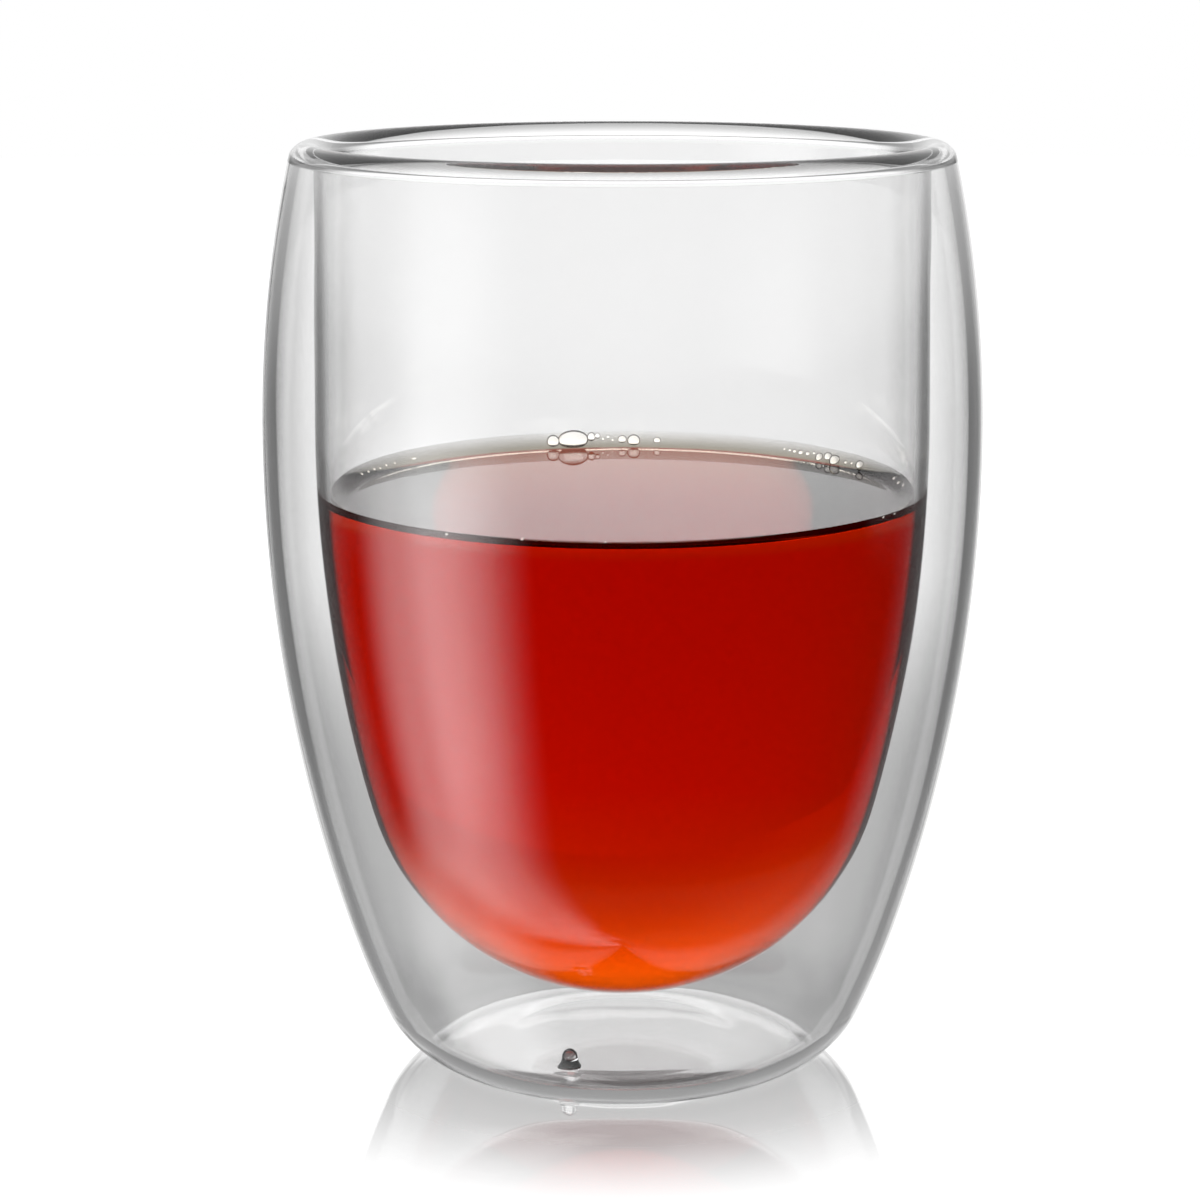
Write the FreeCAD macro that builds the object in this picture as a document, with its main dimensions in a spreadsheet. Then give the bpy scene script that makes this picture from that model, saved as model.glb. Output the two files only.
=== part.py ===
# Double-walled glass tumbler of tea: an outer glass and an inner cup joined at a rounded lip,
# with sealed air between them, and the drink standing in the cup. All sizes are in millimetres.
# +Z is up along the axis of the glass, and the glass stands on z = 0.
import FreeCAD
import Part
import os
import math
import Sketcher

App = FreeCAD
doc = App.newDocument("tumbler")

# ---------------------------------------------------------------- sizes
# The first group is given, the second follows from it by tangency of the arcs.
GIVEN = [
    ("height", "115", "over the lip"),
    ("belly_diameter", "88.2", "outside, at the widest"),
    ("belly_height", "=height * 0.683", "height of the widest place, outside and inside"),
    ("lower_arc", "195", "outside radius of the long arc from belly to heel"),
    ("heel_height", "=height * 0.161", "where the long arc passes into the heel arc"),
    ("heel_arc", "109", "outside radius of the short arc above the foot corner"),
    ("corner_radius", "11.9", "foot corner, outside"),
    ("foot_ring", "3", "width of the flat ring the glass stands on"),
    ("punt_depth", "1.5", "rise of the base inside the foot ring"),
    ("outer_wall", "1.65", "thickness of the outer glass"),
    ("inner_wall", "1.55", "thickness of the cup"),
    ("belly_gap", "4.75", "air between the walls at the belly"),
    ("lip_width", "4.7", "the lip is a full round of this width"),
    ("lip_depth", "3.2", "from the top of the lip to the top of the air gap"),
    ("mouth_slope", "0.014", "the cup narrows this much per mm towards the lip"),
    ("cup_arc", "175", "outside radius of the cup's side"),
    ("cup_floor", "9.1", "underside of the cup above the table"),
    ("contact_height", "=height * 0.637", "where the tea meets the wall"),
    ("meniscus_height", "1.8", "climb of the tea at the wall"),
    ("meniscus_arc", "3", "radius of the climb"),
    ("pip_x", "-6.5", "closed filling point in the base, across"),
    ("pip_front", "12.5", "closed filling point in the base, towards the front"),
    ("pip_neck_radius", "0.9", "round top of the pip"),
    ("pip_neck_height", "3.7", "centre of the round top"),
    ("pip_flare", "3.2", "radius of the pip's hollow flank"),
]
DERIVED = [
    ("belly_radius", "=belly_diameter / 2"),
    ("lower_cx", "=belly_radius - lower_arc"),
    ("heel_sin", "=(belly_height - heel_height) / lower_arc"),
    ("heel_cos", "=sqrt(1 - heel_sin ^ 2)"),
    ("heel_x", "=lower_cx + lower_arc * heel_cos"),
    ("heel_cx", "=heel_x - heel_arc * heel_cos"),
    ("heel_cz", "=heel_height + heel_arc * heel_sin"),
    ("foot_radius", "=heel_cx + sqrt((heel_arc - corner_radius) ^ 2 - (heel_cz - corner_radius) ^ 2)"),
    ("punt_radius", "=foot_radius - foot_ring"),
    ("punt_arc", "=(punt_radius ^ 2 + punt_depth ^ 2) / (2 * punt_depth)"),
    ("cup_radius", "=belly_radius - outer_wall - belly_gap"),
    ("cup_inset", "=cup_arc - cup_radius"),
    ("bore_arc", "=cup_arc - inner_wall"),
    ("cup_drop", "=belly_height - cup_floor"),
    ("bowl_radius", "=(cup_arc ^ 2 - cup_inset ^ 2 - cup_drop ^ 2) / (2 * (cup_arc - cup_drop))"),
    ("bowl_cz", "=cup_floor + bowl_radius"),
    ("lip_radius", "=lip_width / 2"),
    ("lip_cz", "=height - lip_radius"),
    ("slope_cos", "=1 / sqrt(1 + mouth_slope ^ 2)"),
    ("slope_sin", "=mouth_slope * slope_cos"),
    ("slope_deg", "=atan(mouth_slope) / 1deg"),
    ("lip_cx", "=(bore_arc + lip_radius - (lip_cz - belly_height) * slope_sin) / slope_cos - cup_inset"),
    ("upper_arc", "=((lip_cx - belly_radius) ^ 2 + (lip_cz - belly_height) ^ 2 - lip_radius ^ 2)"
                  " / (2 * (belly_radius - lip_cx - lip_radius))"),
    ("upper_cx", "=belly_radius - upper_arc"),
    ("gap_rise", "=height - lip_depth - belly_height"),
    ("gap_side", "=cup_arc / slope_cos - cup_inset - upper_cx - gap_rise * mouth_slope"),
    ("gap_k", "=1 / slope_cos + mouth_slope"),
    ("gap_reach", "=upper_arc - outer_wall"),
    ("gap_b", "=gap_side * gap_k - gap_rise + gap_reach"),
    ("gap_c", "=gap_side ^ 2 + gap_rise ^ 2 - gap_reach ^ 2"),
    ("gap_radius", "=(sqrt(gap_b ^ 2 - gap_k ^ 2 * gap_c) - gap_b) / gap_k ^ 2"),
    ("tea_level", "=contact_height - meniscus_height"),
    ("pip_root", "=outer_wall * 0.6"),
]

sheet = doc.addObject("Spreadsheet::Sheet", "Sizes")
row = 1
for entry in GIVEN + DERIVED:
    name, value = entry[0], entry[1]
    sheet.set("A%d" % row, name)
    sheet.set("B%d" % row, value)
    sheet.setAlias("B%d" % row, name)
    if len(entry) > 2:
        sheet.set("C%d" % row, entry[2])
    row += 1
doc.recompute()


def size(name):
    return float(sheet.get(name))


# ---------------------------------------------------------------- sketch helpers
UP = App.Vector(0, 0, 1)


def point(x, z):
    return App.Vector(x, z, 0)


def add_arc(sketch, cx, cz, radius, start, end):
    """Arc counter-clockwise from start to end, both in radians."""
    circle = Part.Circle(point(cx, cz), UP, radius)
    return sketch.addGeometry(Part.ArcOfCircle(circle, start, end), False)


def add_line(sketch, x1, z1, x2, z2):
    return sketch.addGeometry(Part.LineSegment(point(x1, z1), point(x2, z2)), False)


def fix(sketch, kind, *parts):
    return sketch.addConstraint(Sketcher.Constraint(kind, *parts))


def bind(sketch, formula, kind, *parts):
    """A dimension that takes its value from the sheet."""
    value = size_of(formula)
    index = sketch.addConstraint(Sketcher.Constraint(kind, *parts, value))
    sketch.setExpression("Constraints[%d]" % index, formula.replace("$", "Sizes."))
    return index


def size_of(formula):
    """The present value of a sum of sizes, each written $name."""
    total = 0.0
    for term in formula.replace(" - ", " + -").split(" + "):
        sign = -1.0 if term.startswith("-") else 1.0
        product = 1.0
        for factor in term.lstrip("-").split(" * "):
            product *= size(factor[1:]) if factor.startswith("$") else float(factor)
        total += sign * product
    return total


def angle_to(cx, cz, x, z):
    return math.atan2(z - cz, x - cx)


ORIGIN = (-1, 1)
AXIS = -2          # the vertical axis of a sketch
START, END, CENTRE = 1, 2, 3


def new_sketch(body, name):
    sketch = body.newObject("Sketcher::SketchObject", name)
    plane = [o for o in body.Origin.OriginFeatures if o.Role == "XZ_Plane"][0]
    sketch.AttachmentSupport = [(plane, "")]
    sketch.MapMode = "FlatFace"
    return sketch


def side_chain(sketch, wall, cup, top_radius):
    """The closed half-section that the glass and its air gap have in common.

    wall names the inset from the outside of the glass, cup the inset from the outside of the
    cup ("" for none), and top_radius the round that joins the two sides at the top.
    """
    t = size(wall) if wall else 0.0
    c = size(cup) if cup else 0.0
    less_wall = " - $%s" % wall if wall else ""
    less_cup = " - $%s" % cup if cup else ""
    more_cup = " + $%s" % cup if cup else ""
    belly_r, belly_z = size("belly_radius") - t, size("belly_height")
    hs, hc = size("heel_sin"), size("heel_cos")
    heel_cx, heel_cz = size("heel_cx"), size("heel_cz")
    foot_r, corner = size("foot_radius"), size("corner_radius")
    corner_a = angle_to(heel_cx, heel_cz, foot_r, corner)
    heel_a = -math.asin(hs)
    punt_r = size("punt_arc") + t
    punt_cz = size("punt_depth") - size("punt_arc")
    punt_x = math.sqrt(punt_r ** 2 - (t - punt_cz) ** 2)
    upper_cx, upper_r = size("upper_cx"), size("upper_arc") - t
    cup_cx, cup_r = -size("cup_inset"), size("cup_arc") - c
    slope = math.atan(size("mouth_slope"))
    round_r = size(top_radius)
    round_cz = size("height") - (size("lip_depth") if wall else 0.0) - round_r
    round_cx = cup_cx + ((cup_r + round_r - (round_cz - belly_z) * math.sin(slope))
                         / math.cos(slope))
    round_a = angle_to(upper_cx, belly_z, round_cx, round_cz)
    bowl_r, bowl_cz = size("bowl_radius") - c, size("bowl_cz")
    join_a = angle_to(cup_cx, belly_z, 0, bowl_cz)

    # outside, from the middle of the base up to the lip
    punt = add_arc(sketch, 0, punt_cz, punt_r, angle_to(0, punt_cz, punt_x, t), math.pi / 2)
    foot = add_line(sketch, punt_x, t, foot_r, t)
    turn = add_arc(sketch, foot_r, corner, corner - t, -math.pi / 2, corner_a)
    heel = add_arc(sketch, heel_cx, heel_cz, size("heel_arc") - t, corner_a, heel_a)
    lower = add_arc(sketch, size("lower_cx"), belly_z, size("lower_arc") - t, heel_a, 0)
    upper = add_arc(sketch, upper_cx, belly_z, upper_r, 0, round_a)
    top = add_arc(sketch, round_cx, round_cz, round_r, round_a, math.pi + slope)
    # inside, down the cup to its floor
    x1 = round_cx - round_r * math.cos(slope)
    z1 = round_cz - round_r * math.sin(slope)
    x2 = cup_cx + cup_r * math.cos(slope)
    z2 = belly_z + cup_r * math.sin(slope)
    bore = add_line(sketch, x1, z1, x2, z2)
    side = add_arc(sketch, cup_cx, belly_z, cup_r, join_a, slope)
    bowl = add_arc(sketch, 0, bowl_cz, bowl_r, -math.pi / 2, join_a)
    axis = add_line(sketch, 0, bowl_cz - bowl_r, 0, punt_cz + punt_r)

    fix(sketch, "Coincident", punt, START, foot, START)
    for one, end, other, begin in ((foot, END, turn, START), (turn, END, heel, START),
                                   (heel, END, lower, START), (lower, END, upper, START),
                                   (upper, END, top, START), (top, END, bore, START),
                                   (bore, END, side, END), (side, START, bowl, END)):
        fix(sketch, "Tangent", one, end, other, begin)
    fix(sketch, "Coincident", bowl, START, axis, START)
    fix(sketch, "Coincident", axis, END, punt, END)
    for piece, where in ((punt, CENTRE), (punt, END), (bowl, CENTRE), (bowl, START)):
        fix(sketch, "PointOnObject", piece, where, AXIS)
    fix(sketch, "Horizontal", foot)
    if wall:
        bind(sketch, "$%s" % wall, "DistanceY", *ORIGIN, foot, START)
        bind(sketch, "$punt_arc + $%s" % wall, "Radius", punt)
        bind(sketch, "$heel_height + $%s * $heel_sin" % wall, "DistanceY", *ORIGIN, lower, START)
        bind(sketch, "$punt_depth + $%s" % wall, "DistanceY", *ORIGIN, punt, END)
    else:
        fix(sketch, "PointOnObject", foot, START, -1)
        bind(sketch, "$foot_ring", "DistanceX", foot, START, foot, END)
        bind(sketch, "$heel_height", "DistanceY", *ORIGIN, lower, START)
        bind(sketch, "$punt_depth", "DistanceY", *ORIGIN, punt, END)
    bind(sketch, "$corner_radius" + less_wall, "Radius", turn)
    bind(sketch, "$heel_arc" + less_wall, "Radius", heel)
    bind(sketch, "$lower_arc" + less_wall, "Radius", lower)
    bind(sketch, "$belly_radius" + less_wall, "DistanceX", *ORIGIN, lower, END)
    bind(sketch, "$belly_height", "DistanceY", *ORIGIN, lower, END)
    fix(sketch, "Horizontal", lower, CENTRE, lower, END)
    bind(sketch, "$upper_arc" + less_wall, "Radius", upper)
    bind(sketch, "$" + top_radius, "Radius", top)
    bind(sketch, "$cup_arc" + less_cup, "Radius", side)
    bind(sketch, "$belly_height", "DistanceY", *ORIGIN, side, CENTRE)
    bind(sketch, "$cup_inset", "DistanceX", side, CENTRE, *ORIGIN)
    bind(sketch, "$cup_floor" + more_cup, "DistanceY", *ORIGIN, bowl, START)
    bind(sketch, "$belly_height + $%s * $slope_sin" % ("bore_arc" if cup else "cup_arc"),
         "DistanceY", *ORIGIN, bore, END)


def turned(body, sketch, kind, name):
    """The sketch turned once round its own vertical axis: Revolution adds, Groove cuts."""
    feature = body.newObject("PartDesign::" + kind, name)
    feature.Profile = sketch
    feature.ReferenceAxis = (sketch, ["V_Axis"])
    feature.Angle = 360
    return feature


# ---------------------------------------------------------------- the glass
glass_body = doc.addObject("PartDesign::Body", "glass")
glass_section = new_sketch(glass_body, "GlassSection")
side_chain(glass_section, "", "inner_wall", "lip_radius")
turned(glass_body, glass_section, "Revolution", "GlassForm")

air_section = new_sketch(glass_body, "AirGapSection")
side_chain(air_section, "outer_wall", "", "gap_radius")
turned(glass_body, air_section, "Groove", "AirGap")

# The pip that closed the filling hole: a small bell standing on the inside of the base.
pip_section = new_sketch(glass_body, "PipSection")
pip_section.AttachmentOffset = App.Placement(
    App.Vector(size("pip_x"), 0, size("pip_front")), App.Rotation())
pip_section.setExpression("AttachmentOffset.Base.x", "Sizes.pip_x * 1mm")
pip_section.setExpression("AttachmentOffset.Base.z", "Sizes.pip_front * 1mm")
neck_r, neck_z = size("pip_neck_radius"), size("pip_neck_height")
flare, root_z = size("pip_flare"), size("pip_root")
root_a = math.pi + math.asin((neck_z - root_z) / flare)
root_x = neck_r + flare + flare * math.cos(root_a)
root = add_line(pip_section, 0, root_z, root_x, root_z)
flank = add_arc(pip_section, neck_r + flare, neck_z, flare, math.pi, root_a)
dome = add_arc(pip_section, 0, neck_z, neck_r, 0, math.pi / 2)
pip_axis = add_line(pip_section, 0, neck_z + neck_r, 0, root_z)
fix(pip_section, "Coincident", root, END, flank, END)
fix(pip_section, "Tangent", flank, START, dome, START)
fix(pip_section, "Coincident", dome, END, pip_axis, START)
fix(pip_section, "Coincident", pip_axis, END, root, START)
fix(pip_section, "Horizontal", root)
for piece, where in ((root, START), (dome, CENTRE), (dome, END)):
    fix(pip_section, "PointOnObject", piece, where, AXIS)
fix(pip_section, "Horizontal", dome, CENTRE, dome, START)
bind(pip_section, "$pip_root", "DistanceY", *ORIGIN, root, START)
bind(pip_section, "$pip_neck_height", "DistanceY", *ORIGIN, dome, CENTRE)
bind(pip_section, "$pip_neck_radius", "Radius", dome)
bind(pip_section, "$pip_flare", "Radius", flank)
turned(glass_body, pip_section, "Revolution", "Pip")

# ---------------------------------------------------------------- the tea
# It fills the cup face to face, and its edge climbs the wall in a short arc.
tea_body = doc.addObject("PartDesign::Body", "tea")
tea_section = new_sketch(tea_body, "TeaSection")
bore_cx, bore_r, belly_z = -size("cup_inset"), size("bore_arc"), size("belly_height")
bowl_r, bowl_cz = size("bowl_radius") - size("inner_wall"), size("bowl_cz")
contact_z, level, climb_r = size("contact_height"), size("tea_level"), size("meniscus_arc")
contact_x = bore_cx + math.sqrt(bore_r ** 2 - (belly_z - contact_z) ** 2)
level_x = contact_x - math.sqrt(climb_r ** 2 - (climb_r - (contact_z - level)) ** 2)
join_a = angle_to(bore_cx, belly_z, 0, bowl_cz)
floor = add_arc(tea_section, 0, bowl_cz, bowl_r, -math.pi / 2, join_a)
side = add_arc(tea_section, bore_cx, belly_z, bore_r, join_a,
               angle_to(bore_cx, belly_z, contact_x, contact_z))
climb = add_arc(tea_section, level_x, level + climb_r, climb_r, -math.pi / 2,
                angle_to(level_x, level + climb_r, contact_x, contact_z))
surface = add_line(tea_section, level_x, level, 0, level)
tea_axis = add_line(tea_section, 0, level, 0, bowl_cz - bowl_r)
fix(tea_section, "Tangent", floor, END, side, START)
fix(tea_section, "Coincident", side, END, climb, END)
fix(tea_section, "Tangent", climb, START, surface, START)
fix(tea_section, "Coincident", surface, END, tea_axis, START)
fix(tea_section, "Coincident", tea_axis, END, floor, START)
for piece, where in ((floor, CENTRE), (floor, START), (surface, END)):
    fix(tea_section, "PointOnObject", piece, where, AXIS)
fix(tea_section, "Horizontal", surface)
bind(tea_section, "$cup_floor + $inner_wall", "DistanceY", *ORIGIN, floor, START)
bind(tea_section, "$cup_arc - $inner_wall", "Radius", side)
bind(tea_section, "$belly_height", "DistanceY", *ORIGIN, side, CENTRE)
bind(tea_section, "$cup_inset", "DistanceX", side, CENTRE, *ORIGIN)
bind(tea_section, "$contact_height", "DistanceY", *ORIGIN, side, END)
bind(tea_section, "$meniscus_arc", "Radius", climb)
bind(tea_section, "$tea_level", "DistanceY", *ORIGIN, surface, END)
turned(tea_body, tea_section, "Revolution", "TeaForm")

# ---------------------------------------------------------------- checks and files
doc.recompute()
for thing in doc.Objects:
    if "Invalid" in thing.State or "Error" in thing.State:
        raise RuntimeError("not rebuilt: " + thing.Name)
    if thing.TypeId == "Sketcher::SketchObject" and not thing.FullyConstrained:
        raise RuntimeError("a sketch is free to move: " + thing.Name)

os.makedirs("parts", exist_ok=True)
for body in (glass_body, tea_body):
    body.Label = body.Name
    shape = body.Shape
    if not shape.isValid() or len(shape.Solids) != 1:
        raise RuntimeError("not one sound solid: " + body.Name)
    print(body.Label, "volume", round(shape.Volume, 1), "box", shape.BoundBox)
    shape.Solids[0].exportStep(os.path.join("parts", body.Label + ".step"))
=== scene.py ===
import bpy
import bmesh
import math
from mathutils import Matrix, Vector


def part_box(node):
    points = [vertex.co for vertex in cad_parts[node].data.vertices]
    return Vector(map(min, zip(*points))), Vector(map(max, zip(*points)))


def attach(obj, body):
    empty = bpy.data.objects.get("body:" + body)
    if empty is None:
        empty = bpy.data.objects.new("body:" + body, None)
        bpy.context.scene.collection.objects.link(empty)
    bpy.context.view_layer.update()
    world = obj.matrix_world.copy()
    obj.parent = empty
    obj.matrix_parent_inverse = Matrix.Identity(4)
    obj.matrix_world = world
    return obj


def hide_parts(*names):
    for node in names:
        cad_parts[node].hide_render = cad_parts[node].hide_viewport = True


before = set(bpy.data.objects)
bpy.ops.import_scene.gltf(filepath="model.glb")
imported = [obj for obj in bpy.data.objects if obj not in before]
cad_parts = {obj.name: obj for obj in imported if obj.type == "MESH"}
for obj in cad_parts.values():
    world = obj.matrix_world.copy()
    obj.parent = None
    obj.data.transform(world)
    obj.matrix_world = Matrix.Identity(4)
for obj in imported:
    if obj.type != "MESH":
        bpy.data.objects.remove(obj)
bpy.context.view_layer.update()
MM = 0.001

# ---- the glass ----------------------------------------------------------------------------
# Borosilicate tube, blown into two thin cups, one inside the other, and fused at the mouth to a
# full round lip. The air between them is closed in, and the filling hole in the base ends in a
# small drawn pip. All sizes are in millimetres, in half-section: distance from the axis, height.
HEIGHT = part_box("glass")[1].z / MM
BELLY_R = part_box("glass")[1].x / MM
BELLY_Z = HEIGHT * 0.683
OUTER_WALL, INNER_WALL, BELLY_GAP = 1.65, 1.55, 4.75
LOWER_ARC, HEEL_ARC, CORNER, HEEL_Z = 195.0, 109.0, 11.9, HEIGHT * 0.161
FOOT_RING, PUNT_DEPTH = 3.0, 1.5
CUP_ARC, CUP_FLOOR, MOUTH_SLOPE = 175.0, 9.1, 0.014
LIP_R, LIP_DEPTH = 2.35, 2.0
STEPS_ROUND, SHARP = 192, math.radians(40)


def arc(cx, cz, radius, start, end, count):
    """Points on an arc about (cx, cz), angles in radians from level."""
    return [(cx + radius * math.cos(start + (end - start) * i / count),
             cz + radius * math.sin(start + (end - start) * i / count))
            for i in range(count + 1)]


def joined(*runs):
    """Runs of points end to end, each shared point once."""
    points = []
    for run in runs:
        for p in run:
            if not points or math.dist(p, points[-1]) > 1e-6:
                points.append(p)
    return points


# The long arcs meet at the belly and the heel, where they share a tangent.
lower_cx = BELLY_R - LOWER_ARC
heel_a = math.asin((BELLY_Z - HEEL_Z) / LOWER_ARC)
heel_cx = lower_cx + (LOWER_ARC - HEEL_ARC) * math.cos(heel_a)
heel_cz = HEEL_Z + HEEL_ARC * math.sin(heel_a)
foot_r = heel_cx + math.sqrt((HEEL_ARC - CORNER) ** 2 - (heel_cz - CORNER) ** 2)
corner_a = math.atan2(heel_cz - CORNER, foot_r - heel_cx)
punt_r = foot_r - FOOT_RING
punt_arc = (punt_r ** 2 + PUNT_DEPTH ** 2) / (2 * PUNT_DEPTH)
punt_cz = PUNT_DEPTH - punt_arc
cup_cx = BELLY_R - OUTER_WALL - BELLY_GAP - CUP_ARC
cup_drop = BELLY_Z - CUP_FLOOR
bowl_r = (CUP_ARC ** 2 - cup_cx ** 2 - cup_drop ** 2) / (2 * (CUP_ARC - cup_drop))
bowl_cz = CUP_FLOOR + bowl_r
join_a = math.atan2(bowl_cz - BELLY_Z, -cup_cx)
slope = math.atan(MOUTH_SLOPE)


def round_on_cup(cup_r, top, radius):
    """Centre of a round that touches the sloped mouth of the cup and the height top."""
    z = top - radius
    rise = (z - BELLY_Z) * math.sin(slope)
    return cup_cx + (cup_r + radius - rise) / math.cos(slope), z


def round_between(outer_cx, outer_r, cup_r, top):
    """Centre and radius of the round that closes the space between two walls at the top."""
    low, high = 0.05, 4.0
    for _ in range(60):
        radius = (low + high) / 2
        x, z = round_on_cup(cup_r, top, radius)
        if math.hypot(x - outer_cx, z - BELLY_Z) + radius > outer_r:
            high = radius
        else:
            low = radius
    return round_on_cup(cup_r, top, radius) + (radius,)


lip_x, lip_z = round_on_cup(CUP_ARC - INNER_WALL, HEIGHT, LIP_R)
upper_arc = (((lip_x - BELLY_R) ** 2 + (lip_z - BELLY_Z) ** 2 - LIP_R ** 2)
             / (2 * (BELLY_R - lip_x - LIP_R)))
upper_cx = BELLY_R - upper_arc


def wall_section(wall, cup, top):
    """One closed half-section: up the outer glass at depth wall, over, and down the cup."""
    x, z, r = top
    punt_x = math.sqrt((punt_arc + wall) ** 2 - (wall - punt_cz) ** 2)
    over = math.atan2(z - BELLY_Z, x - upper_cx)
    floor_a = math.atan2(wall - punt_cz, punt_x)
    cup_side = CUP_ARC - cup
    return joined(
        arc(0, punt_cz, punt_arc + wall, math.pi / 2, floor_a, 7),
        [(punt_x, wall), (foot_r, wall)],
        arc(foot_r, CORNER, CORNER - wall, -math.pi / 2, -corner_a, 14),
        arc(heel_cx, heel_cz, HEEL_ARC - wall, -corner_a, -heel_a, 6),
        arc(lower_cx, BELLY_Z, LOWER_ARC - wall, -heel_a, 0, 22),
        arc(upper_cx, BELLY_Z, upper_arc - wall, 0, over, 12),
        arc(x, z, r, over, math.pi + slope, 22),
        arc(cup_cx, BELLY_Z, cup_side, slope, join_a, 22),
        arc(0, bowl_cz, bowl_r - cup, join_a, -math.pi / 2, 22))


gap_top = round_between(upper_cx, upper_arc - OUTER_WALL, CUP_ARC, HEIGHT - LIP_DEPTH)
OUTSIDE = wall_section(0, INNER_WALL, (lip_x, lip_z, LIP_R))
AIR_GAP = wall_section(OUTER_WALL, 0, gap_top)


def add(tree, kind, settings=None, inputs=None):
    """A node with its settings, and inputs that are values or other nodes' outputs."""
    made = tree.nodes.new(kind)
    for name, value in (settings or {}).items():
        setattr(made, name, value)
    for name, value in (inputs or {}).items():
        if isinstance(value, bpy.types.NodeSocket):
            tree.links.new(value, made.inputs[name])
        else:
            made.inputs[name].default_value = value
    return made


def turning_tree():
    """Geometry Nodes that turn a drawn half-section once round the axis, as on a glass lathe."""
    tree = bpy.data.node_groups.new("turned_on_axis", "GeometryNodeTree")
    face = tree.interface
    face.new_socket("Section", in_out="INPUT", socket_type="NodeSocketGeometry")
    face.new_socket("Steps Round", in_out="INPUT", socket_type="NodeSocketInt")
    face.new_socket("Core Radius", in_out="INPUT", socket_type="NodeSocketFloat")
    face.new_socket("Finish", in_out="INPUT", socket_type="NodeSocketMaterial")
    face.new_socket("Turned", in_out="OUTPUT", socket_type="NodeSocketGeometry")
    given = add(tree, "NodeGroupInput").outputs
    line = add(tree, "GeometryNodeMeshToCurve", None, {"Mesh": given["Section"]})
    ring = add(tree, "GeometryNodeCurvePrimitiveCircle", None,
               {"Resolution": given["Steps Round"], "Radius": given["Core Radius"]})
    skin = add(tree, "GeometryNodeCurveToMesh", None,
               {"Curve": ring.outputs["Curve"], "Profile Curve": line.outputs["Curve"]})
    whole = add(tree, "GeometryNodeMergeByDistance", None,
                {"Geometry": skin.outputs["Mesh"], "Distance": 2e-6})
    smooth = add(tree, "GeometryNodeSetShadeSmooth", None,
                 {"Geometry": whole.outputs["Geometry"]})
    real = add(tree, "GeometryNodeRealizeInstances", None,
               {"Geometry": smooth.outputs["Geometry"]})
    clad = add(tree, "GeometryNodeSetMaterial", None,
               {"Geometry": real.outputs["Geometry"], "Material": given["Finish"]})
    add(tree, "NodeGroupOutput", None, {"Turned": clad.outputs["Geometry"]})
    return tree


TURNING = turning_tree()


def turned(section, steps, finish, hollow=False):
    """The mesh that a half-section sweeps; a hollow's faces look into the hollow."""
    core = 10 * MM
    drawn = bpy.data.meshes.new("section")
    drawn.from_pydata([(x * MM - core, -z * MM, 0) for x, z in section],
                      [(i, i + 1) for i in range(len(section) - 1)], [])
    blank = bpy.data.objects.new("section", drawn)
    bpy.context.collection.objects.link(blank)
    lathe = blank.modifiers.new("turn", "NODES")
    lathe.node_group = TURNING
    wanted = {"Steps Round": steps, "Core Radius": core, "Finish": finish}
    for item in TURNING.interface.items_tree:
        if item.in_out == "INPUT" and item.name in wanted:
            lathe[item.identifier] = wanted[item.name]
    ready = blank.evaluated_get(bpy.context.evaluated_depsgraph_get())
    mesh = bpy.data.meshes.new_from_object(ready)
    bpy.data.objects.remove(blank)
    bpy.data.meshes.remove(drawn)
    shell = bmesh.new()
    shell.from_mesh(mesh)
    if (shell.calc_volume(signed=True) < 0) != hollow:
        bmesh.ops.reverse_faces(shell, faces=shell.faces)
    shell.to_mesh(mesh)
    shell.free()
    return mesh


def linear(hex_colour):
    """An sRGB hex colour as linear RGBA."""
    parts = [int(hex_colour[i:i + 2], 16) / 255 for i in (1, 3, 5)]
    return [p / 12.92 if p <= 0.04045 else ((p + 0.055) / 1.055) ** 2.4 for p in parts] + [1.0]


def maths(kind, first, second=0.0):
    """A Math node in the tree at hand."""
    return add(tree, "ShaderNodeMath", {"operation": kind}, {0: first, 1: second}).outputs[0]


def fade(value, start, stop, before, after, kind="SMOOTHSTEP"):
    """A value that goes from before to after between two marks, in the tree at hand."""
    if start > stop:
        start, stop, before, after = stop, start, after, before
    return add(tree, "ShaderNodeMapRange", {"interpolation_type": kind},
               {"Value": value, "From Min": start, "From Max": stop, "To Min": before,
                "To Max": after}).outputs[0]


def blend(factor, low, high):
    """The low value at factor 0 and the high one at factor 1, in the tree at hand."""
    return add(tree, "ShaderNodeMix", {"data_type": "FLOAT"},
               {"Factor": factor, "A": low, "B": high}).outputs[0]


def new_material(name):
    made = bpy.data.materials.new(name)
    made.use_nodes = True
    made.node_tree.nodes.clear()
    return made, made.node_tree


WHITE = (1.0, 1.0, 1.0, 1.0)
GLASS_IOR, WATER_IOR, CAUGHT_AFTER = 1.47, 1.333, 19.5


def clear_body(tree, colour, ior, shade, last, glow, normal=None):
    """A clear smooth medium that bends light. Lamps shine through it with the tint of its shade,
    and a ray that has met more than 19 surfaces is caught in the piece and ends in a painted
    glow, an emission that stands in for the light it would carry out."""
    inputs = {"Base Color": colour, "IOR": ior, "Roughness": 0.0, "Transmission Weight": 1.0}
    if normal is not None:
        inputs["Normal"] = normal
    clear = add(tree, "ShaderNodeBsdfPrincipled", None, inputs)
    path = add(tree, "ShaderNodeLightPath")
    through = add(tree, "ShaderNodeBsdfTransparent", None, {"Color": shade})
    caught = add(tree, "ShaderNodeMath", {"operation": "GREATER_THAN"},
                 {0: path.outputs["Ray Depth"], 1: CAUGHT_AFTER})
    # painted glow: the emission where a caught ray ends
    painted_glow = add(tree, "ShaderNodeEmission", None, {"Color": last, "Strength": glow})
    body = add(tree, "ShaderNodeMixShader", None,
               {0: caught.outputs[0], 1: clear.outputs[0], 2: painted_glow.outputs[0]})
    return add(tree, "ShaderNodeMixShader", None,
               {0: path.outputs["Is Shadow Ray"], 1: body.outputs[0], 2: through.outputs[0]})
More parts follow.
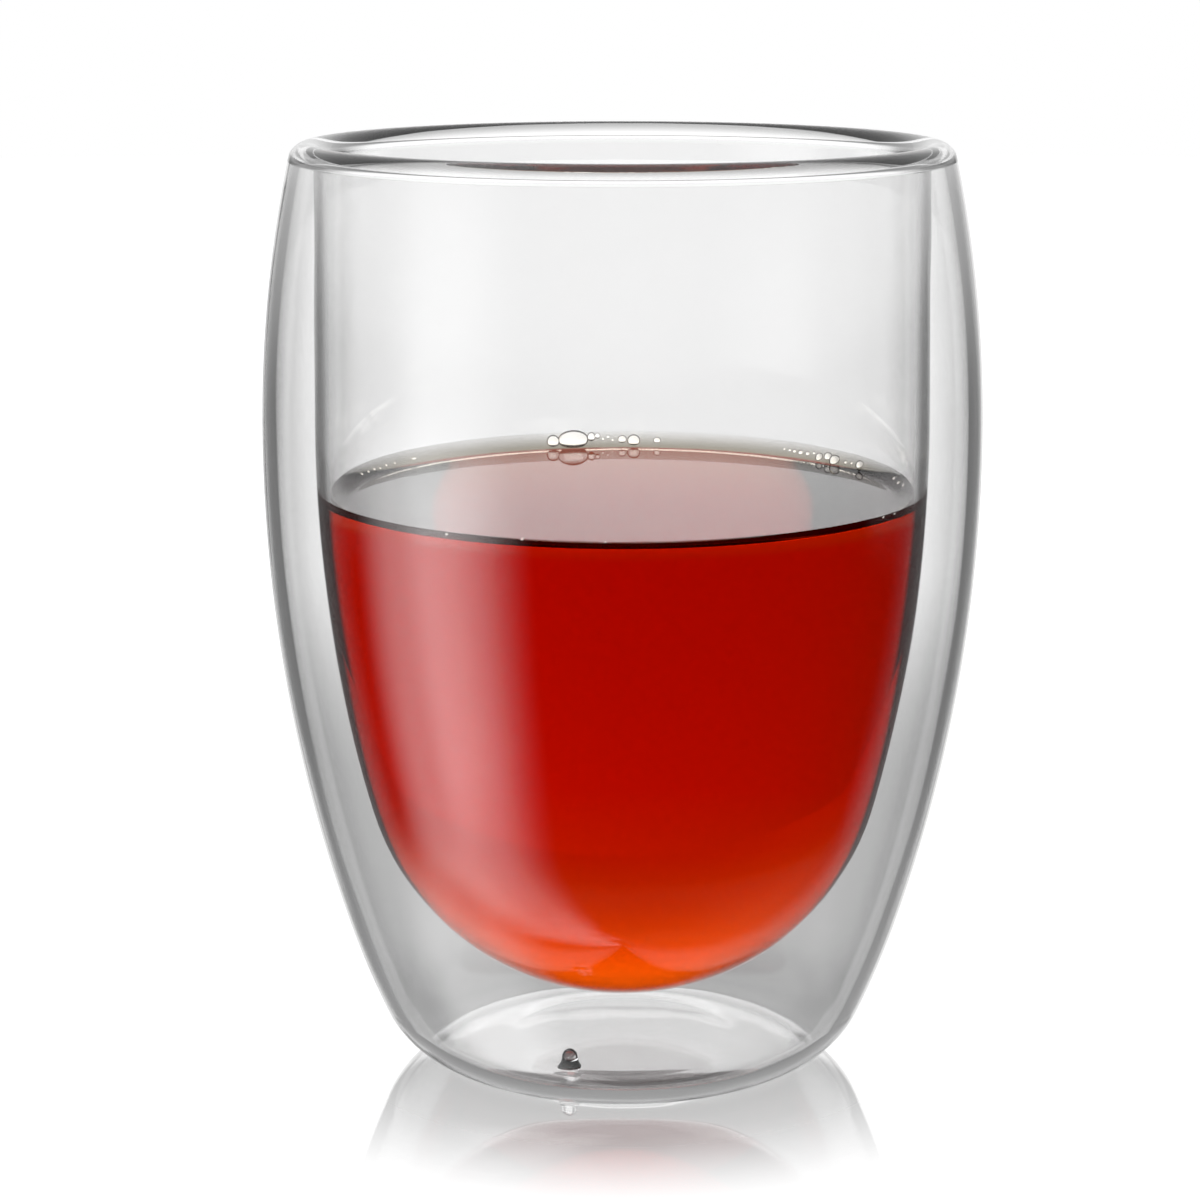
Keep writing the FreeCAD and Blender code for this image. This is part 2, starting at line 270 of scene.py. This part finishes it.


# Borosilicate, drawn and flame-worked: colourless and fire-polished, so it has no roughness, and
# a faint waviness round the walls, about 9 mm from crest to crest, bends what is seen through it.
# A ray caught in it ends in a painted glow, nearly dark low on the glass and pale at its top.
blown_glass, tree = new_material("borosilicate_blown_clear")
place = add(tree, "ShaderNodeTexCoord").outputs["Object"]
stretch = add(tree, "ShaderNodeMapping", None, {"Vector": place, "Scale": (110, 110, 28)})
wave = add(tree, "ShaderNodeTexNoise", None,
           {"Vector": stretch.outputs[0], "Scale": 1.0, "Detail": 1.0, "Roughness": 0.4})
bump = add(tree, "ShaderNodeBump", None,
           {"Height": wave.outputs["Fac"], "Strength": 0.06, "Distance": 0.0006})
height = add(tree, "ShaderNodeSeparateXYZ", None, {0: place}).outputs["Z"]
# painted glow: faint low on the glass and strong at its top
body = clear_body(tree, linear("#fefefe"), GLASS_IOR, linear("#f2f5f5"), WHITE,
                  fade(height, 0.06, 0.11, 0.04, 0.8), bump.outputs[0])
add(tree, "ShaderNodeOutputMaterial", None, {"Surface": body.outputs[0]})
blown_glass.cycles.emission_sampling = "NONE"

glass_mesh = turned(OUTSIDE, STEPS_ROUND, blown_glass)
shell = bmesh.new()
shell.from_mesh(glass_mesh)
shell.from_mesh(turned(AIR_GAP, STEPS_ROUND, blown_glass, hollow=True))
shell.to_mesh(glass_mesh)
shell.free()
glass = bpy.data.objects.new("glass_blown", glass_mesh)
bpy.context.collection.objects.link(glass)

# The pip: a small bell, drawn from the same glass, standing on the inside of the base.
PIP_X, PIP_Y, NECK_R, NECK_Z, FLARE, ROOT_Z = -6.5, -12.5, 0.95, 3.4, 2.0, 1.5
root_a = math.pi + math.asin((NECK_Z - ROOT_Z) / FLARE)
bell = joined([(0, ROOT_Z)], arc(NECK_R + FLARE, NECK_Z, FLARE, root_a, math.pi, 12),
              arc(0, NECK_Z, NECK_R, 0, math.pi / 2, 8))
pip_mesh = turned(bell, 40, blown_glass)
pip_mesh.transform(Matrix.Translation((PIP_X * MM, PIP_Y * MM, 0)))
pip = bpy.data.objects.new("pip", pip_mesh)
bpy.context.collection.objects.link(pip)
fuse = glass.modifiers.new("fuse", "BOOLEAN")
fuse.operation, fuse.solver, fuse.object = "UNION", "EXACT", pip
fused = bpy.data.meshes.new_from_object(
    glass.evaluated_get(bpy.context.evaluated_depsgraph_get()))
glass.modifiers.clear()
glass.data = fused
bpy.data.objects.remove(pip)
fused.set_sharp_from_angle(angle=SHARP)
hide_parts("glass")
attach(glass, "root")

# ---- the tea ------------------------------------------------------------------------------
# Black tea, poured a little over half full. It wets the cup, so its edge climbs the wall in a
# short curve. The piece goes 0.1 mm into the wall, so that no film of air shows between them.
CONTACT_Z, CLIMB, CLIMB_ARC, INTO_WALL = HEIGHT * 0.637, 1.8, 3.0, 0.1
LEVEL_Z = CONTACT_Z - CLIMB
tea_side = CUP_ARC - INNER_WALL + INTO_WALL
contact_a = math.asin((CONTACT_Z - BELLY_Z) / tea_side)
contact_x = cup_cx + tea_side * math.cos(contact_a)
climb_x = contact_x - INTO_WALL - math.sqrt(CLIMB_ARC ** 2 - (CLIMB_ARC - CLIMB) ** 2)
climb_a = math.atan2(CONTACT_Z - LEVEL_Z - CLIMB_ARC, contact_x - INTO_WALL - climb_x)
TEA = joined(
    arc(0, bowl_cz, bowl_r - INNER_WALL + INTO_WALL, -math.pi / 2, join_a, 26),
    arc(cup_cx, BELLY_Z, tea_side, join_a, contact_a, 24),
    arc(climb_x, LEVEL_Z + CLIMB_ARC, CLIMB_ARC, climb_a, -math.pi / 2, 14),
    [(r, LEVEL_Z) for r in (30, 25, 20, 15, 10, 5, 0)])

# A clear infusion: water with no haze, which swallows blue at once, green in a few millimetres
# and little red, so thick tea is deep red and the thin bottom of the cup turns orange. A stain
# on its surface, gone at its floor and at its top, carries the change.
black_tea, tree = new_material("black_tea_clear_infusion")
place = add(tree, "ShaderNodeTexCoord").outputs["Object"]
height = add(tree, "ShaderNodeSeparateXYZ", None, {0: place}).outputs["Z"]
level = LEVEL_Z * MM
brim = fade(height, level - 0.0012, level - 0.0002, 0.0, 1.0, "LINEAR")
green = maths("MAXIMUM", fade(height, 0.012, 0.034, 1.0, 0.11, "LINEAR"), brim)
red = maths("MAXIMUM", fade(height, 0.03, 0.062, 1.0, 0.9, "LINEAR"), brim)
stain = add(tree, "ShaderNodeCombineColor", None, {"Red": red, "Green": green, "Blue": green})
# A ray caught in the tea ends in a faint dark red painted glow.
body = clear_body(tree, stain.outputs[0], WATER_IOR, linear("#c9473a"), (1.0, 0.05, 0.02, 1.0),
                  0.04)
dye = add(tree, "ShaderNodeVolumeAbsorption", None,
          {"Color": (0.94, 0.64, 0.0, 1.0), "Density": 150.0})
add(tree, "ShaderNodeOutputMaterial", None,
    {"Surface": body.outputs[0], "Volume": dye.outputs[0]})
black_tea.cycles.emission_sampling = "NONE"

tea_mesh = turned(TEA, STEPS_ROUND, black_tea)
# Poured tea hangs a little higher on the back of the cup than at the front. The surface is raised
# and tipped by LEVEL_LIFT and LEVEL_TIP, its edge on the wall by EDGE_LIFT and EDGE_TIP, and
# nothing moves more than TIP_DEPTH under the surface.
LEVEL_LIFT, LEVEL_TIP, EDGE_LIFT, EDGE_TIP, TIP_DEPTH = 0.3, 0.3, 0.08, 0.62, 3.0
for v in tea_mesh.vertices:
    rise = v.co.z / MM - LEVEL_Z
    near_top = min(max(rise / TIP_DEPTH + 1, 0), 1)
    climbed = min(max(rise / CLIMB, 0), 1)
    toward_back = v.co.y / (contact_x * MM)
    lift = LEVEL_LIFT + (EDGE_LIFT - LEVEL_LIFT) * climbed
    tip = LEVEL_TIP + (EDGE_TIP - LEVEL_TIP) * climbed
    v.co.z += near_top * (lift + tip * toward_back) * MM
tea_mesh.set_sharp_from_angle(angle=SHARP)
tea = bpy.data.objects.new("tea_poured", tea_mesh)
bpy.context.collection.objects.link(tea)
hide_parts("tea")
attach(tea, "root")

# ---- bubbles ------------------------------------------------------------------------------
# A few bubbles left by pouring, caught where the tea climbs the cup: one large flat one with
# beads beside it at the back, a string of beads at the right, fine froth at the left. Each is
# given by its bearing from the back (degrees, right positive), width, height and centre height
# over the level, in millimetres.
BUBBLES = [
    (-15.7, 1.75, 1.7, 1.5), (-11.2, 4.3, 2.5, 1.7), (-6.9, 1.15, 1.2, 1.9),
    (-5.5, 0.75, 0.8, 2.0), (-4.3, 0.5, 0.5, 1.5), (-3.2, 0.55, 0.45, 1.8),
    (-2.2, 0.45, 0.45, 1.3), (-0.1, 1.25, 1.1, 1.5), (2.5, 1.8, 1.6, 1.4),
    (7.6, 1.05, 0.9, 1.4), (37.7, 0.45, 0.4, 1.25), (39.2, 0.6, 0.5, 1.2),
    (40.6, 0.7, 0.6, 1.15), (42.4, 0.95, 0.8, 1.15), (44.3, 0.85, 0.7, 1.1),
    (46.0, 0.6, 0.5, 1.3), (48.2, 1.25, 1.4, 0.95), (51.0, 1.3, 1.2, 1.3),
    (53.6, 1.6, 1.6, 1.0), (56.8, 0.7, 0.6, 0.8), (58.8, 0.6, 0.5, 0.9),
    (62.3, 1.3, 1.2, 1.15), (-51.5, 1.2, 0.5, 0.9), (-58.0, 0.5, 0.4, 0.8),
    (-61.5, 0.6, 0.5, 0.9), (-64.0, 0.45, 0.4, 0.6), (-66.5, 0.7, 0.5, 0.8),
    (-69.5, 0.55, 0.5, 0.7), (-73.0, 0.6, 0.5, 0.8), (79.0, 0.7, 0.6, 0.9),
    (83.0, 0.8, 0.7, 0.7), (87.0, 0.6, 0.6, 0.9), (-147.0, 0.4, 0.4, 1.0),
    (-162.0, 0.45, 0.45, 1.2), (-177.0, 0.35, 0.35, 1.2), (125.0, 0.45, 0.45, 1.3),
    (121.0, 0.35, 0.35, 1.3)]

# Wet film over air, with painted light: where it faces out it is painted white and given a
# painted glow, and at its rim and on its underside it is painted nearly black, a painted
# reflection of the dark tea.
film, tree = new_material("tea_bubble_film_wet")
facing = add(tree, "ShaderNodeLayerWeight", None, {"Blend": 0.5}).outputs["Facing"]
normal = add(tree, "ShaderNodeNewGeometry").outputs["Normal"]
up = add(tree, "ShaderNodeSeparateXYZ", None, {0: normal}).outputs["Z"]
# painted shade: the rim and the underside of each bubble are darkened
dark = maths("MAXIMUM", fade(facing, 0.34, 0.56, 0.0, 1.0), fade(up, -0.55, -0.3, 1.0, 0.0))
painted_shade_tone = add(tree, "ShaderNodeMix", {"data_type": "RGBA"},
           {"Factor": dark, "A": linear("#ffffff"), "B": linear("#1c1614")})
body = clear_body(tree, painted_shade_tone.outputs["Result"], WATER_IOR, linear("#f0ece8"), WHITE, 0.5)
# painted glow: an emission that brightens the bubble where it is not painted dark
glow = add(tree, "ShaderNodeEmission", None,
           {"Color": (1.0, 0.98, 0.96, 1.0), "Strength": blend(dark, 0.36, 0.0)})
body = add(tree, "ShaderNodeAddShader", None, {0: body.outputs[0], 1: glow.outputs[0]})
add(tree, "ShaderNodeOutputMaterial", None, {"Surface": body.outputs[0]})
film.cycles.emission_sampling = "NONE"

tree = bpy.data.node_groups.new("beads_on_points", "GeometryNodeTree")
tree.interface.new_socket("Places", in_out="INPUT", socket_type="NodeSocketGeometry")
tree.interface.new_socket("Finish", in_out="INPUT", socket_type="NodeSocketMaterial")
tree.interface.new_socket("Beads", in_out="OUTPUT", socket_type="NodeSocketGeometry")
given = add(tree, "NodeGroupInput").outputs
size = add(tree, "GeometryNodeInputNamedAttribute", {"data_type": "FLOAT_VECTOR"},
           {"Name": "size"}).outputs["Attribute"]
turn = add(tree, "GeometryNodeInputNamedAttribute", {"data_type": "FLOAT_VECTOR"},
           {"Name": "turn"}).outputs["Attribute"]
ball = add(tree, "GeometryNodeMeshUVSphere", None, {"Segments": 32, "Rings": 20, "Radius": 0.5})
beads = add(tree, "GeometryNodeInstanceOnPoints", None,
            {"Points": given["Places"], "Instance": ball.outputs["Mesh"], "Rotation": turn,
             "Scale": size})
beads = add(tree, "GeometryNodeRealizeInstances", None, {"Geometry": beads.outputs[0]})
beads = add(tree, "GeometryNodeSetShadeSmooth", None, {"Geometry": beads.outputs[0]})
beads = add(tree, "GeometryNodeSetMaterial", None,
            {"Geometry": beads.outputs[0], "Material": given["Finish"]})
add(tree, "NodeGroupOutput", None, {"Beads": beads.outputs[0]})

OFF_WALL = 0.03
places, sizes, turns = [], [], []
for bearing, width, tall, rise in BUBBLES:
    z = LEVEL_Z + rise
    wall = cup_cx + math.sqrt((CUP_ARC - INNER_WALL) ** 2 - (z - BELLY_Z) ** 2)
    deep = min(width, tall)
    r = wall - deep / 2 - OFF_WALL
    b = math.radians(bearing)
    places.append((r * math.sin(b) * MM, r * math.cos(b) * MM, z * MM))
    sizes.append((width * MM, deep * MM, tall * MM))
    turns.append((0.0, 0.0, -b))
spots = bpy.data.meshes.new("bubble_places")
spots.from_pydata(places, [], [])
for name, rows in (("size", sizes), ("turn", turns)):
    field = spots.attributes.new(name, "FLOAT_VECTOR", "POINT")
    field.data.foreach_set("vector", [v for row in rows for v in row])
blank = bpy.data.objects.new("bubble_places", spots)
bpy.context.collection.objects.link(blank)
maker = blank.modifiers.new("beads", "NODES")
maker.node_group = tree
for item in tree.interface.items_tree:
    if item.in_out == "INPUT" and item.name == "Finish":
        maker[item.identifier] = film
froth = bpy.data.objects.new("bubbles", bpy.data.meshes.new_from_object(
    blank.evaluated_get(bpy.context.evaluated_depsgraph_get())))
bpy.data.objects.remove(blank)
bpy.context.collection.objects.link(froth)
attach(froth, "root")

# ---- the table ----------------------------------------------------------------------------
# A polished white table top. Near the glass it mirrors, and further off it is plain white. It
# lies 0.05 mm under the foot, so that the two don't share a plane. Bearings are in degrees from
# the back, right positive.
TABLE_R, UNDER_FOOT = 1.6, 0.00005
DEGREES = math.degrees(1)
# Bounds on how many clear surfaces light has crossed, by what it came through: the outer wall,
# the base, either side of the hollow, the upper body, the tea's climbing edge, the brim.
BY_WALL, BY_BASE, BY_SIDE = (0.5, 2.5), (2.5, 4.5), (4.5, 8.5)
BY_UPPER, BY_EDGE = (7.5, 8.5), (8.5, 10.5)
OVER_BRIM, IN_TEA, BOUNCED = 10.5, 9.0, 0.5


def between(value, low, high):
    """One between two bounds and nothing outside them, in the tree at hand."""
    return maths("MULTIPLY", maths("GREATER_THAN", value, low), maths("LESS_THAN", value, high))


bpy.ops.mesh.primitive_circle_add(vertices=96, radius=TABLE_R, fill_type="NGON")
table = bpy.context.object
table.name = "table"
table.data.transform(Matrix.Translation((0, 0, -UNDER_FOOT)))
polished_top, tree = new_material("polished_white_top")
spot = add(tree, "ShaderNodeTexCoord").outputs["Object"]
reach = add(tree, "ShaderNodeVectorMath", {"operation": "LENGTH"}, {0: spot}).outputs["Value"]
part = add(tree, "ShaderNodeSeparateXYZ", None, {0: spot}).outputs
bearing = maths("MULTIPLY", maths("ARCTAN2", part["X"], part["Y"]), DEGREES)
off_axis = maths("ABSOLUTE", bearing)
path = add(tree, "ShaderNodeLightPath").outputs
crossed = path["Transmission Depth"]

# Through the glass the table is an emission with a painted shadow under the glass: dark close
# under it and less dark further off. The lip, which looks straight down (8 surfaces crossed),
# shows it painted nearly black.
down_the_lip = maths("MULTIPLY", between(crossed, *BY_UPPER), maths("LESS_THAN", reach, 0.06))
near = blend(down_the_lip, fade(reach, 0.02, 0.05, 0.34, 0.58), 0.05)
painted_shade_through_glass = maths("ADD", near, fade(reach, 0.12, 0.33, 0.0, 0.57))
# Through the tea (more than 9) only the part behind it shows, and the part on the viewer's side
# to someone who looks from behind; the rest is painted dark. To the left it is painted a little
# darker.
sector = maths("MAXIMUM", fade(off_axis, 39, 44, 1.0, 0.03), fade(off_axis, 95, 110, 0.0, 1.0))
sector = maths("MULTIPLY", sector, fade(bearing, -28, 8, 0.74, 1.0))
through_tea = blend(maths("GREATER_THAN", crossed, IN_TEA), 1.0, sector)
painted_shade_through_glass = maths("MULTIPLY", painted_shade_through_glass, through_tea)

chalk = add(tree, "ShaderNodeBsdfDiffuse", None, {"Color": linear("#b8b8b8")})
lift = add(tree, "ShaderNodeEmission", None, {"Color": WHITE, "Strength": 0.84})
white = add(tree, "ShaderNodeAddShader", None, {0: chalk.outputs[0], 1: lift.outputs[0]})
# painted shadow: the table as seen through the glass, given as an emission
behind = add(tree, "ShaderNodeEmission", None, {"Color": WHITE, "Strength": painted_shade_through_glass})
top = add(tree, "ShaderNodeMixShader", None,
          {0: path["Is Camera Ray"], 1: behind.outputs[0], 2: white.outputs[0]})
polish = add(tree, "ShaderNodeBsdfGlossy", None, {"Color": WHITE, "Roughness": 0.0})
shown = add(tree, "ShaderNodeMixShader", None,
            {0: fade(reach, 0.024, 0.06, 0.77, 0.0), 1: top.outputs[0], 2: polish.outputs[0]})
gone = add(tree, "ShaderNodeBsdfTransparent", None, {"Color": WHITE})
ends = add(tree, "ShaderNodeMixShader", None,
           {0: maths("GREATER_THAN", path["Glossy Depth"], BOUNCED), 1: shown.outputs[0],
            2: gone.outputs[0]})
add(tree, "ShaderNodeOutputMaterial", None, {"Surface": ends.outputs[0]})
polished_top.cycles.emission_sampling = "NONE"
table.data.materials.append(polished_top)

# ---- studio light -------------------------------------------------------------------------
# A white room for what is seen directly or straight through the glass. What the glass mirrors is
# a white backdrop 36 degrees wide, dark flags beside it, and one tall soft light at the left.
# Bearings and climbs are in degrees.
world = bpy.data.worlds.new("studio")
bpy.context.scene.world = world
world.use_nodes = True
tree = world.node_tree
tree.nodes.clear()
path = add(tree, "ShaderNodeLightPath").outputs
crossed, mirrored = path["Transmission Depth"], path["Glossy Depth"]
way = add(tree, "ShaderNodeTexCoord").outputs["Generated"]
part = add(tree, "ShaderNodeSeparateXYZ", None, {0: way}).outputs
bearing = maths("MULTIPLY", maths("ARCTAN2", part["X"], part["Y"]), DEGREES)
off_axis = maths("ABSOLUTE", bearing)
climb = maths("MULTIPLY", maths("ARCSINE", part["Z"]), DEGREES)

# The white backdrop, dark below the table's edge.
below = maths("MULTIPLY", maths("LESS_THAN", crossed, 2.5), 0.33)
backdrop = blend(fade(climb, -44, -16, 0.0, 1.0), below, fade(climb, -8, 12, 0.8, 1.12))
backdrop = blend(fade(climb, 15, 40, 0.0, 1.0), backdrop, 0.9)
# The dark flags to both sides of it, and the paler wall over them.
flags = maths("MULTIPLY", fade(off_axis, 62, 36, 0.0, 1.0), fade(climb, -30, -16, 0.3, 0.17))
sill = maths("MULTIPLY", fade(off_axis, 85, 62, 0.0, 1.0), fade(climb, -8, 0, 0.0, 0.2))
around = blend(fade(climb, 2, 12, 0.0, 1.0), maths("ADD", flags, sill),
               fade(off_axis, 85, 42, 0.25, 0.8))
first_face = maths("MULTIPLY", maths("LESS_THAN", crossed, 0.5), fade(climb, -1, 4, 0.0, 1.0))
around = blend(first_face, around, fade(mirrored, 1.4, 1.6, 0.95, 0.3))
room = blend(fade(off_axis, 20, 15, 0.0, 1.0), around, backdrop)
# The tall soft light at the left. The tea's depth hides it.
strip = blend(fade(climb, -42, -30, 0.0, 1.0), fade(bearing, -92, -62, 1.3, 0.0),
              fade(bearing, -104, -85, 1.9, 0.0))
strip = maths("MULTIPLY", strip, fade(bearing, -148, -114, 0.0, 1.0))
strip = maths("MULTIPLY", strip, fade(climb, -12, -2, 1.0, 0.1))
strip = maths("MULTIPLY", strip, maths("LESS_THAN", crossed, 8.5))
room = maths("ADD", room, strip)

# What is mirrored inside the glass is set by how many surfaces the light has crossed. The base
# and the outer wall darken what lies low, the tea's surface is lit, the lip is dark where it
# looks steeply up or to the side, and the tea's edge and the hollow's sides are lit.
upward = fade(climb, 4, 8, 0.0, 1.0)
hollow = maths("MULTIPLY", between(crossed, *BY_BASE), upward)
room = blend(hollow, room, fade(climb, 24, 34, 0.44, 1.0))
outer = maths("MULTIPLY", between(crossed, *BY_WALL), upward)
room = blend(outer, room, fade(climb, 20, 36, 0.25, 1.15))
surface = maths("MULTIPLY", fade(climb, 3, 6, 0.0, 1.0), fade(climb, 17, 14, 0.0, 1.0))
surface = maths("MULTIPLY", surface, between(crossed, *BY_UPPER))
room = maths("MULTIPLY", room, blend(surface, 1.0, 1.4))
steep = maths("MAXIMUM", between(crossed, *BY_UPPER), maths("GREATER_THAN", crossed, OVER_BRIM))
steep = maths("MULTIPLY", steep, fade(climb, 46, 56, 0.0, 1.0))
room = maths("MULTIPLY", room, blend(steep, 1.0, 0.1))
brim_side = maths("MULTIPLY", maths("GREATER_THAN", crossed, OVER_BRIM),
                  fade(off_axis, 34, 46, 0.0, 1.0))
room = maths("MULTIPLY", room, blend(brim_side, 1.0, 0.15))
ahead = fade(off_axis, 80, 66, 0.0, 1.0)
collar = maths("MULTIPLY", fade(climb, -28, -22, 0.0, 1.0), fade(climb, -16, -12, 1.0, 0.0))
collar = maths("MULTIPLY", collar, maths("MULTIPLY", between(crossed, *BY_EDGE), ahead))
room = maths("ADD", room, maths("MULTIPLY", collar, 2.8))
jacket = maths("MULTIPLY", fade(climb, -16, -10, 0.0, 1.0), fade(off_axis, 28, 40, 0.0, 1.0))
jacket = maths("MULTIPLY", jacket, maths("MULTIPLY", between(crossed, *BY_SIDE), ahead))
room = maths("ADD", room, maths("MULTIPLY", jacket, 0.5))

# Straight through: white, brighter above the back through the tea, and dark beside it.
glare = maths("MULTIPLY", fade(climb, 0, 30, 0.0, 1.35), fade(off_axis, 8, 30, 1.0, 0.6))
glare = maths("MULTIPLY", glare, maths("GREATER_THAN", crossed, IN_TEA))
sector = maths("MAXIMUM", fade(off_axis, 49, 44, 0.03, 1.0), fade(off_axis, 95, 110, 0.0, 1.0))
sector = blend(maths("GREATER_THAN", crossed, 3.5), 1.0, sector)
straight = maths("MULTIPLY", maths("ADD", glare, 1.03), sector)
strength = blend(maths("GREATER_THAN", mirrored, BOUNCED), straight, room)
strength = blend(path["Is Diffuse Ray"], strength, 0.5)
strength = blend(path["Is Camera Ray"], strength, 1.0)
sky = add(tree, "ShaderNodeBackground", None, {"Color": WHITE, "Strength": strength})
add(tree, "ShaderNodeOutputWorld", None, {"Surface": sky.outputs[0]})


def soft_light(name, power, width, place, aim):
    """A square lamp that lights the scene and isn't seen or mirrored."""
    lamp = bpy.data.lights.new(name, "AREA")
    lamp.energy, lamp.size = power, width
    hung = bpy.data.objects.new(name, lamp)
    hung.location = place
    hung.rotation_euler = (Vector(aim) - Vector(place)).to_track_quat("-Z", "Y").to_euler()
    hung.visible_camera = hung.visible_glossy = hung.visible_transmission = False
    bpy.context.collection.objects.link(hung)


MID_TEA = (0.0, 0.0, 0.04)
soft_light("key_left", 3.0, 0.6, (-0.7, -0.5, 0.8), MID_TEA)
soft_light("fill_right", 1.5, 0.8, (0.8, -0.2, 0.9), MID_TEA)

# ---- camera -------------------------------------------------------------------------------
# Eye a little above the lip, 0.4 m away, with a short telephoto lens.
EYE, LOOK_DOWN, FOCAL_MM, SENSOR_MM, SHIFT = (0.0, -0.4, 0.1418), 11.8, 98.5, 36.0, -0.0188
lens = bpy.data.cameras.new("camera")
lens.lens, lens.sensor_width, lens.shift_x = FOCAL_MM, SENSOR_MM, SHIFT
lens.clip_start = 0.01
camera = bpy.data.objects.new("camera", lens)
camera.location = EYE
camera.rotation_euler = (math.radians(90 - LOOK_DOWN), 0, 0)
bpy.context.collection.objects.link(camera)
scene = bpy.context.scene
scene.camera = camera
scene.view_settings.view_transform = "Standard"
# Enough bounces for light to cross both walls, the tea and the lip, and come out again.
scene.cycles.max_bounces = 24
scene.cycles.transmission_bounces = 24
scene.cycles.glossy_bounces = 16
scene.cycles.transparent_max_bounces = 24
scene.cycles.caustics_reflective = False
scene.cycles.caustics_refractive = False
